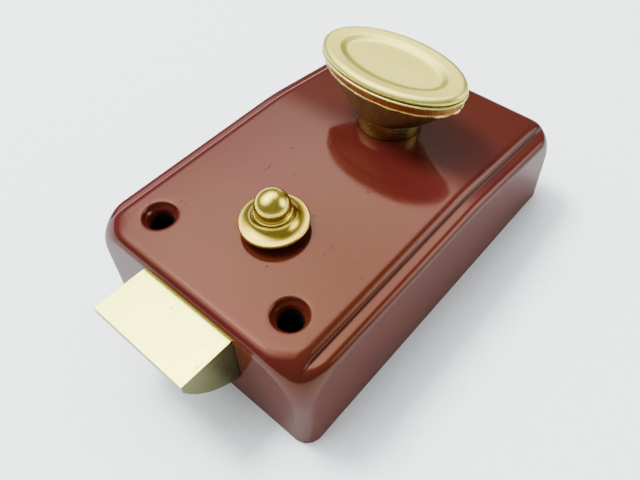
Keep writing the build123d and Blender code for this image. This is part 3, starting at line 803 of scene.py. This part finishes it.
def fill_plan(boundary, holes, step):
    """Triangles that fill a plan outline round its holes, each a loop and a test for points near it."""
    points, edges = [], []
    for loop in (boundary, *(hole[0] for hole in holes)):
        start = len(points)
        points.extend(Vector(p) for p in loop)
        edges.extend((start + k, start + (k + 1) % len(loop)) for k in range(len(loop)))
    x_low, x_high = min(p.x for p in points), max(p.x for p in points)
    y_low, y_high = min(p.y for p in points), max(p.y for p in points)
    for x in spread(x_low, x_high, int((x_high - x_low) / step))[1:-1]:
        for y in spread(y_low, y_high, int((y_high - y_low) / step))[1:-1]:
            edge_room = min(x - x_low, x_high - x, y - y_low, y_high - y)
            if edge_room > step / 2 and not any(near(x, y, step / 3) for loop, near in holes):
                points.append(Vector((x, y)))
    filled = delaunay_2d_cdt(points, edges, [], 1, 1e-5)
    flat, faces = filled[0], filled[2]
    kept = []
    for face in faces:
        middle = sum((flat[k] for k in face), Vector((0, 0))) / len(face)
        if not any(near(middle.x, middle.y, -0.01) for loop, near in holes):
            kept.append(face)
    return [tuple(p) for p in flat], kept


def round_hole(x, y, radius):
    """Loop of a round hole, and the test for points in it or within a margin of it."""
    loop = [(x + radius * cos(turn), y + radius * sin(turn)) for turn in full_turn(hole_points)]
    return loop, lambda px, py, margin: hypot(px - x, py - y) < radius + margin


def slot_hole():
    """Loop of the snib's slot across the case, and its test."""
    radius = snib_slot_width / 2
    half = snib_slot_length / 2 - radius
    loop = arc((snib_x, half), radius, 0, 180, 16) + arc((snib_x, -half), radius, 180, 360, 16)
    return loop, lambda px, py, margin: hypot(px - snib_x, max(abs(py) - half, 0)) < radius + margin


def top_band(shell, stations):
    """The band along the top's edge, ring by ring from the wall inwards. Returns its points and rings."""
    insets = [band_insets(station) for station in stations]
    rows = []
    for k in range(len(insets[0])):
        plan = [plan_point(station, insets[s][k]) for s, station in enumerate(stations)]
        rows.append(draped(plan, case_top))
    return rows, shell.loft(rows)


def wall_rings(shell, stations, inset, tops, shares):
    """Rings of one side of the walls, each at a share of the full height."""
    plan = plan_ring(stations, inset)
    return [shell.row([(x, y, top * share) for (x, y), top in zip(plan, tops)]) for share in shares]


def open_columns(stations):
    """The columns of the front wall where the bolt's window is."""
    front = [k for k, station in enumerate(stations) if station[0] == "front"]
    places = [abs(plan_point(stations[k], 0)[1]) for k in front]
    return [k for k, near, far in zip(front, places, places[1:]) if max(near, far) < window_half + 0.01]


def walls(shell, stations, top_ring, tops):
    """Both sides of the walls and the window's frame between them. Returns their lowest rings."""
    full = roof(case_front) - top_round
    levels = spread(window_high, window_low, window_rows) + spread(window_low, foot_round, lower_rows)[1:]
    outer = [top_ring] + wall_rings(shell, stations, 0, tops, [z / full for z in levels])
    ceilings = [ceiling(*p) for p in plan_ring(stations, wall)]
    full = under_roof(case_front - wall, 0)
    inner = wall_rings(shell, stations, wall, ceilings, [1.0] + [z / full for z in levels])
    window = open_columns(stations)
    for rings in (outer, inner):
        for k, (first, second) in enumerate(zip(rings, rings[1:])):
            shell.ring_pair(first, second, window if 1 <= k <= window_rows else ())
    for s in window:
        for k in (1, window_rows + 1):
            shell.faces.append((outer[k][s], outer[k][s + 1], inner[k][s + 1], inner[k][s]))
    for s in (window[0], window[-1] + 1):
        for k in range(1, window_rows + 1):
            shell.faces.append((outer[k][s], outer[k + 1][s], inner[k + 1][s], inner[k][s]))
    return outer[-1], inner[-1]


def case_foot(shell, stations, outer, inner):
    """The rounded foot and the rim that the plate sits inside."""
    rings = [outer]
    for angle in (30, 60, 90):
        inset, z = foot_round * (1 - cos(radians(angle))), foot_round * (1 - sin(radians(angle)))
        rings.append(shell.row(level(plan_ring(stations, inset), z)))
    rings += [shell.row(level(plan_ring(stations, wall), 0.0)), inner]
    for first, second in zip(rings, rings[1:]):
        shell.ring_pair(first, second)


def filled_surface(shell, boundary, holes, step, surface):
    """A surface within a plan outline and round its holes."""
    flat, faces = fill_plan(boundary, holes, step)
    base = shell.row(draped(flat, surface))[0]
    shell.faces.extend(tuple(base + k for k in face) for face in faces)


def screw_hole(shell, number, x, y):
    """A screw hole's enamelled lip, not quite round, and the boss inside. Returns the lip's lowest ring."""
    rings = []
    for radius, drop in screw_profile:
        ring = []
        for angle in full_turn(hole_points):
            wave = noise.noise(Vector((cos(angle) * 1.2, sin(angle) * 1.2, number * 7.0)))
            swell = 1 + screw_swell * wave * min(drop, 1.0)
            px, py = x + radius * swell * cos(angle), y + radius * swell * sin(angle)
            ring.append((px, py, case_top(px, py) - drop * (1 + screw_sag * wave)))
        rings.append(ring)
    shell.loft(rings)
    boss = round_hole(x, y, screw_boss)[0]
    shell.loft([level(boss, plate_high.z), draped(boss, under_roof)])
    return rings[-1]


def openings(shell):
    """The hub's bearing in its boss, and the sides of the snib's slot."""
    bore, boss = round_hole(0, 0, hub_bore)[0], round_hole(0, 0, hub_boss)[0]
    shell.loft([draped(bore, case_top), level(bore, boss_floor), level(boss, boss_floor),
                draped(boss, under_roof)])
    slot = slot_hole()[0]
    shell.loft([draped(slot, case_top), draped(slot, under_roof)])


def screw_bore(number, x, y, rim):
    """The bore below an enamelled lip, down to the back plate, in bare iron darkened near black as painted
    shade of the deep hole.
    """
    shell = Shell()
    loops = [round_hole(x, y, radius)[0] for radius in (screw_bore_radius, screw_boss)]
    shell.loft([rim] + [level(loop, plate_high.z) for loop in loops])
    piece = shell.build("screw_bore_%d" % number, "case", "case_enamel")
    # Near-black bore finish: bare iron darkened as painted shade.
    piece.data.materials[0] = finishes["bare_casting"]


def case_skin():
    """The enamelled case: outer skin, bolt window, holes with rounded rims, bosses and the hollow inside."""
    shell = Shell()
    stations = outline_stations()
    rows, rings = top_band(shell, stations)
    lowest = walls(shell, stations, rings[0], [point[2] for point in rows[0]])
    case_foot(shell, stations, *lowest)
    screws = [(screw_x, side * screw_y) for side in (1, -1)]
    for boundary, screw_radius, hub_radius, step, surface in (
            ([point[:2] for point in rows[-1]], screw_rim, hub_bore, panel_step, case_top),
            (plan_ring(stations, wall), screw_boss, hub_boss, ceiling_step, ceiling)):
        holes = [round_hole(*screw, screw_radius) for screw in screws]
        filled_surface(shell, boundary, holes + [round_hole(0, 0, hub_radius), slot_hole()], step, surface)
    rims = [screw_hole(shell, number, *screw) for number, screw in enumerate(screws)]
    openings(shell)
    piece = shell.build("case_skin", "case", "case_enamel", ["case"], sharp=50)
    weight = piece.modifiers.new("even_shading", "WEIGHTED_NORMAL")
    weight.keep_sharp = True
    for number, screw in enumerate(screws):
        screw_bore(number, *screw, rims[number])


# Knob

def knob_face_piece():
    """Stamped oval face: rolled rim, faintly dished ring, sunk centre with sloping walls, closed below."""
    top = face_high.z
    under = top - rim_height
    rise = rim_height - rim_roll
    rim = [(neck_inset, face_low.z), (neck_inset, under + 0.02), (0.45, under), (0.18, under + 0.06),
           (0.04, under + 0.2), (0.0, under + 0.4)]
    for k in range(1, 11):
        turn = radians(9 * k)
        rim.append((rim_round * (1 - cos(turn)), top - rise + rise * sin(turn)))
    profile = [(knob_long - inset, knob_short - inset, z) for inset, z in rim]
    ring_long, ring_short = knob_long - rim_round, knob_short - rim_round
    for share in (0.12, 0.3, 0.55, 0.8):
        long = ring_long - (ring_long - recess_long - recess_lip) * share
        short = ring_short - (ring_short - recess_short - recess_lip) * share
        profile.append((long, short, top - rim_dish * share))
    profile += [(recess_long + out, recess_short + out, top - drop) for out, drop in recess_wall]
    for share in (0.25, 0.5, 0.75):
        long = (recess_long - recess_foot) * (1 - share) + recess_middle * share
        short = (recess_short - recess_foot) * (1 - share)
        profile.append((long, short, top - recess_depth + recess_crown * share))
    rows = [oval_ring(*row) for row in profile]
    middle = (0, 0, top - recess_depth + recess_peak)
    closed_piece("knob_face_stamped", "knob", "face_brass", rows, (0, 0, face_low.z), middle, ["knob_face"])


def jagged(angle):
    """Push out and up of the skirt's rolled edge, by angle."""
    turn = Vector((cos(angle) * 9, sin(angle) * 9, 1.7))
    return 0.03 * noise.noise(turn * 3), 0.27 * noise.noise(turn) + 0.1 * noise.noise(turn * 4)


def drawn(angle):
    """Push out of the skirt's wall at its upright marks, by angle."""
    turn = Vector((cos(angle) * 30, sin(angle) * 30, 4.0))
    return 0.035 * noise.noise(turn), 0.0


def skirt_ring(inset, z, wobble=None):
    """A ring of the skirt, so far in from its widest line."""
    return oval_ring(skirt_high.y - inset, skirt_high.x - inset, z, skirt_points, wobble)


def knob_skirt_piece():
    """Crimped band: lip, drawn wall with upright marks, and a jagged edge rolled in under the bowl; the lip's
    brightness is a painted highlight in its finish.
    """
    top = face_high.z - rim_height - lip_groove
    under = top - lip_height
    low = skirt_low.z
    rows = [skirt_ring(lip_width, top)]
    for inset, drop in ((0.3, 0.0), (0.1, 0.06), (0.0, 0.2), (0.02, 0.36), (0.12, lip_height - 0.06),
                        (0.2, lip_height)):
        rows.append(skirt_ring(inset, top - drop))
    for share in (0.03, 0.1, 0.35, 0.6, 0.85, 1.0):
        inset = skirt_inset + (skirt_taper - skirt_inset) * share
        rows.append(skirt_ring(inset, under - (under - low - edge_height) * share, drawn))
    for inset, up in ((-0.14, 0.36), (-0.17, 0.27), (-0.1, 0.17), (0.1, 0.08), (0.35, 0.06), (0.6, 0.14)):
        rows.append(skirt_ring(skirt_taper + inset, low + up, jagged))
    rows += [skirt_ring(skirt_taper + 1.1, low + 0.5), skirt_ring(1.3, low + 1.2)]
    shell = Shell()
    rings = shell.loft(rows)
    shell.ring_pair(rings[-1], rings[0])
    shell.build("knob_skirt_crimped", "knob", "skirt_brass", ["knob_skirt"], weld=0.0005)


def knob_bowl_piece():
    """Pressed bowl, round at the hub and oval at its rim, with a soft heel at the hub."""
    low = bowl_low.z
    rim_z = skirt_low.z + bowl_seat
    foot = hub_high.x
    rim_long = bowl_high.y - bowl_inset
    rim_short = bowl_high.x - bowl_inset
    rows = []
    for k in range(bowl_steps + 1):
        share = (k / bowl_steps) ** 1.4
        swell = 1 - (1 - share) ** bowl_belly + bowl_heel * min(share / 0.15, 1) * (1 - share) ** 1.2
        heel = bowl_overhang * sqrt(max(1 - (1 - min(share * 20, 1)) ** 2, 0)) * (1 - share)
        long, short = foot + (rim_long - foot) * swell + heel, foot + (rim_short - foot) * swell + heel
        rows.append(oval_ring(long, short, low + (rim_z - low) * share))
    rows.append(oval_ring(rim_long - 1.2, rim_short - 1.2, rim_z + 0.3))
    middle = (0, 0, rim_z + 0.3)
    closed_piece("knob_bowl_pressed", "knob", "bowl_brass", rows, (0, 0, low), middle, ["knob_bowl"])


def turned(name, body, slot, profile, x, y, replaced):
    """A turned piece: a profile of radius and height, from axis to axis, spun about an upright axis."""
    rows = [[(x + radius * cos(turn), y + radius * sin(turn), z) for turn in full_turn(turned_points)]
            for radius, z in profile[1:-1]]
    closed_piece(name, body, slot, rows, (x, y, profile[0][1]), (x, y, profile[-1][1]), replaced)


def snib_piece():
    """Turned snib button: thin-edged flange, hollow flare, collar and dome, with its stem in the slot."""
    radius = (snib_high.x - snib_low.x) / 2
    foot = roof(snib_x) + snib_float
    base = foot + snib_foot_height
    dome_middle = snib_high.z + snib_dome_lift - snib_dome
    profile = [(0.0, snib_low.z), (snib_stem_radius, snib_low.z), (snib_stem_radius, foot),
               (snib_foot_radius - 0.3, foot), (snib_foot_radius, foot + 0.3), (snib_foot_radius, base),
               (radius - 0.25, base), (radius - 0.12, base + 0.03), (radius - 0.03, base + 0.1),
               (radius, base + 0.2)]
    edge = arc((radius - snib_edge, 0.42), snib_edge, 0, 88, 7)
    profile += [(r, base + z) for r, z in (*edge, *snib_flare)]
    profile += arc((0, dome_middle), snib_dome, -6, 90, 14)[:-1] + [(0.0, dome_middle + snib_dome)]
    y = (snib_low.y + snib_high.y) / 2
    turned("snib_turned", "snib", "snib_brass", profile, snib_x, y, ["snib_button"])


def hub_piece():
    """Turned hub with a fine line at its top, where the bowl sits."""
    radius = hub_high.x
    seat = bowl_low.z
    profile = [(0.0, hub_low.z), (radius, hub_low.z), (radius, seat - 0.5), (radius - 0.05, seat - 0.32),
               (radius, seat - 0.2), (radius - 0.02, seat - 0.08), (radius - 0.25, seat),
               (hub_spigot, seat), (hub_spigot, hub_high.z), (0.0, hub_high.z)]
    turned("hub_turned", "knob", "hub_brass", profile, 0, 0, ["knob_hub"])


# Bolt

def mesh_from(work, name):
    """A new mesh from a finished bmesh."""
    mesh = bpy.data.meshes.new(name)
    work.to_mesh(mesh)
    work.free()
    return mesh


def bore_pocket(head):
    """Bores the spring's pocket into the rear of the bolt head."""
    centre = (spring_low + spring_high) / 2
    radius = pocket_radius * MM
    centre.x = bolt_low.x
    place = Matrix.Translation(centre * MM) @ Matrix.Rotation(pi / 2, 4, "Y")
    work = bmesh.new()
    bmesh.ops.create_cone(work, cap_ends=True, segments=48, radius1=radius, radius2=radius,
                          depth=2 * pocket_depth * MM, matrix=place)
    cutter = add_object("pocket", mesh_from(work, "pocket"))
    cut = head.modifiers.new("pocket", "BOOLEAN")
    cut.operation = "DIFFERENCE"
    cut.solver = "EXACT"
    cut.object = cutter
    seen = head.evaluated_get(bpy.context.evaluated_depsgraph_get())
    head.data = bpy.data.meshes.new_from_object(seen)
    head.modifiers.clear()
    bpy.data.objects.remove(cutter)


def bolt_outline():
    """The bolt head from the side: its convex bevel, square rear and flat top."""
    tip = Vector((bolt_high.x, bolt_high.z - bolt_tip_thickness))
    root = Vector((case_front, bolt_low.z))
    along = (root - tip).normalized()
    outward = Vector((-along.y, along.x))
    half = (root - tip).length / 2
    radius = (half * half + bolt_bulge * bolt_bulge) / (2 * bolt_bulge)
    outline = []
    for off in spread(-half, half, bevel_steps):
        bulge = sqrt(radius * radius - off * off) - (radius - bolt_bulge)
        outline.append(tuple((tip + root) / 2 + along * off + outward * bulge))
    return outline + [(bolt_low.x, bolt_low.z), (bolt_low.x, bolt_high.z), (bolt_high.x, bolt_high.z)]


def bolt_piece():
    """Bolt head with a flat top, convex bevel and slightly broken edges."""
    outline = bolt_outline()
    work = bmesh.new()
    sides = []
    for y in (bolt_low.y, bolt_high.y):
        sides.append([work.verts.new(Vector((x, y, z)) * MM) for x, z in outline])
    work.faces.new(sides[0])
    work.faces.new(sides[1][::-1])
    for k in range(len(outline)):
        after = (k + 1) % len(outline)
        work.faces.new((sides[0][after], sides[0][k], sides[1][k], sides[1][after]))
    bmesh.ops.recalc_face_normals(work, faces=work.faces)
    edges = [e for e in work.edges if e.calc_face_angle(0) > radians(20)]
    bmesh.ops.bevel(work, geom=edges, offset=bolt_edge * MM, segments=3, profile=0.5, affect="EDGES")
    for face in work.faces:
        face.smooth = True
    piece = add_object("bolt_head", mesh_from(work, "bolt_head"))
    piece.data.materials.append(finishes["bolt_brass"])
    bore_pocket(piece)
    piece.modifiers.new("even_shading", "WEIGHTED_NORMAL")
    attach(piece, "bolt")
    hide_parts("latch_bolt")


def spring_piece():
    """Coil spring behind the bolt, its turns closer at both ends, built at one length, though the real one
    shortens as the bolt goes in.
    """
    centre = (spring_low + spring_high) / 2
    radius = (spring_high.y - spring_low.y) / 2 - spring_wire
    start = spring_low.x + spring_wire
    length = spring_high.x - spring_wire - start
    rows = []
    for k in range(spring_turns * turn_steps + 1):
        share = k / (spring_turns * turn_steps)
        x = start + length * (share - spring_close * sin(tau * share) / tau)
        climb = length * (1 - spring_close * cos(tau * share)) / (tau * spring_turns * radius)
        angle = tau * k / turn_steps
        out = Vector((0, cos(angle), sin(angle)))
        run = Vector((climb, -sin(angle), cos(angle))).normalized()
        aside = run.cross(out)
        middle = Vector((x, centre.y, centre.z)) + out * radius
        rows.append([tuple(middle + spring_wire * (out * cos(turn) + aside * sin(turn)))
                     for turn in full_turn(wire_points)])
    shell = Shell()
    rings = shell.loft(rows)
    shell.faces.extend((tuple(rings[0][::-1]), tuple(rings[-1])))
    piece = shell.build("bolt_spring_coil", "case", "spring_steel", ["bolt_spring"], weld=0.0005)
    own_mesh(piece)


# Camera, floor and light

def direction(turn, lift):
    """Unit vector towards a compass turn and a lift above the floor, in degrees."""
    turn, lift = radians(turn), radians(lift)
    return Vector((cos(lift) * cos(turn), cos(lift) * sin(turn), sin(lift)))


def camera():
    """The photograph's camera: place, aim, roll, lens and frame shift."""
    back = direction(camera_turn, camera_lift)
    right = Vector((0, 0, 1)).cross(back).normalized()
    data = bpy.data.cameras.new("camera")
    data.sensor_fit = "HORIZONTAL"
    data.sensor_width = 36.0
    data.lens = focal_px / photo_width * data.sensor_width
    data.shift_x = (photo_width / 2 - principal_x) / photo_width
    data.shift_y = (principal_y - photo_height / 2) / photo_width
    data.clip_start = 0.005
    eye = add_object("camera", data)
    aim = Matrix((right, back.cross(right), back)).transposed().to_4x4()
    roll = Matrix.Rotation(radians(camera_roll), 4, "Z")
    eye.matrix_world = Matrix.Translation((camera_target + back * camera_distance) * MM) @ aim @ roll
    bpy.context.scene.camera = eye


def floor():
    """A sheet of paper under the lock."""
    reach = floor_reach * MM
    corners = [(x * reach, y * reach, 0) for x, y in ((-1, -1), (1, -1), (1, 1), (-1, 1))]
    mesh = bpy.data.meshes.new("floor")
    mesh.from_pydata(corners, [], [(0, 1, 2, 3)])
    sheet = add_object("floor", mesh)
    sheet.location.z = -floor_drop * MM
    mesh.materials.append(finishes["paper"])


def with_patch(tree, place, glow, patch):
    """The room's glow with one more soft patch of light."""
    turn, lift, share, edge = patch
    facing = add_node(tree, "VectorMath", {0: place, 1: direction(turn, lift)}, operation="DOT_PRODUCT")
    ramp = add_node(tree, "ValToRGB", {"Fac": facing.outputs["Value"]})
    stops = ramp.color_ramp.elements
    stops[0].color = (0, 0, 0, 1)
    for angle, strength in edge:
        stop = stops.new(cos(radians(angle)))
        stop.color = (strength, strength, strength, 1)
    sockets = {0: ramp.outputs["Color"], 1: share, 2: glow}
    return add_node(tree, "Math", sockets, operation="MULTIPLY_ADD").outputs["Value"]


def room():
    """Broad soft patches of light overhead in a dim room."""
    world = bpy.data.worlds.new("room")
    bpy.context.scene.world = world
    world.use_nodes = True
    tree = world.node_tree
    place = add_node(tree, "TexCoord", {}).outputs["Generated"]
    glow = room_glow
    for patch in patches:
        glow = with_patch(tree, place, glow, patch)
    power = add_node(tree, "Math", {0: glow, 1: light_strength}, operation="MULTIPLY")
    sky = tree.nodes["Background"]
    put(tree, sky.inputs["Color"], (*light_colour, 1))
    put(tree, sky.inputs["Strength"], power.outputs["Value"])


def key_light():
    """A smaller lamp that only casts the soft shadows and shows in no reflection."""
    data = bpy.data.lights.new("key", "AREA")
    data.size = key_size
    data.energy = key_power
    data.color = light_colour
    lamp = add_object("key", data)
    back = direction(key_turn, key_lift)
    lamp.location = camera_target * MM + back * key_distance
    lamp.rotation_euler = back.to_track_quat("Z", "Y").to_euler()
    lamp.visible_glossy = False


camera()
floor()
room()
key_light()
case_skin()
knob_face_piece()
knob_skirt_piece()
knob_bowl_piece()
hub_piece()
snib_piece()
bolt_piece()
spring_piece()
material_slots = {part["node"]: part["material_slot"] for part in frame["record"]["subparts"]}
for name, node in nodes.items():
    node.data.materials.clear()
    node.data.materials.append(finishes[material_slots[name]])
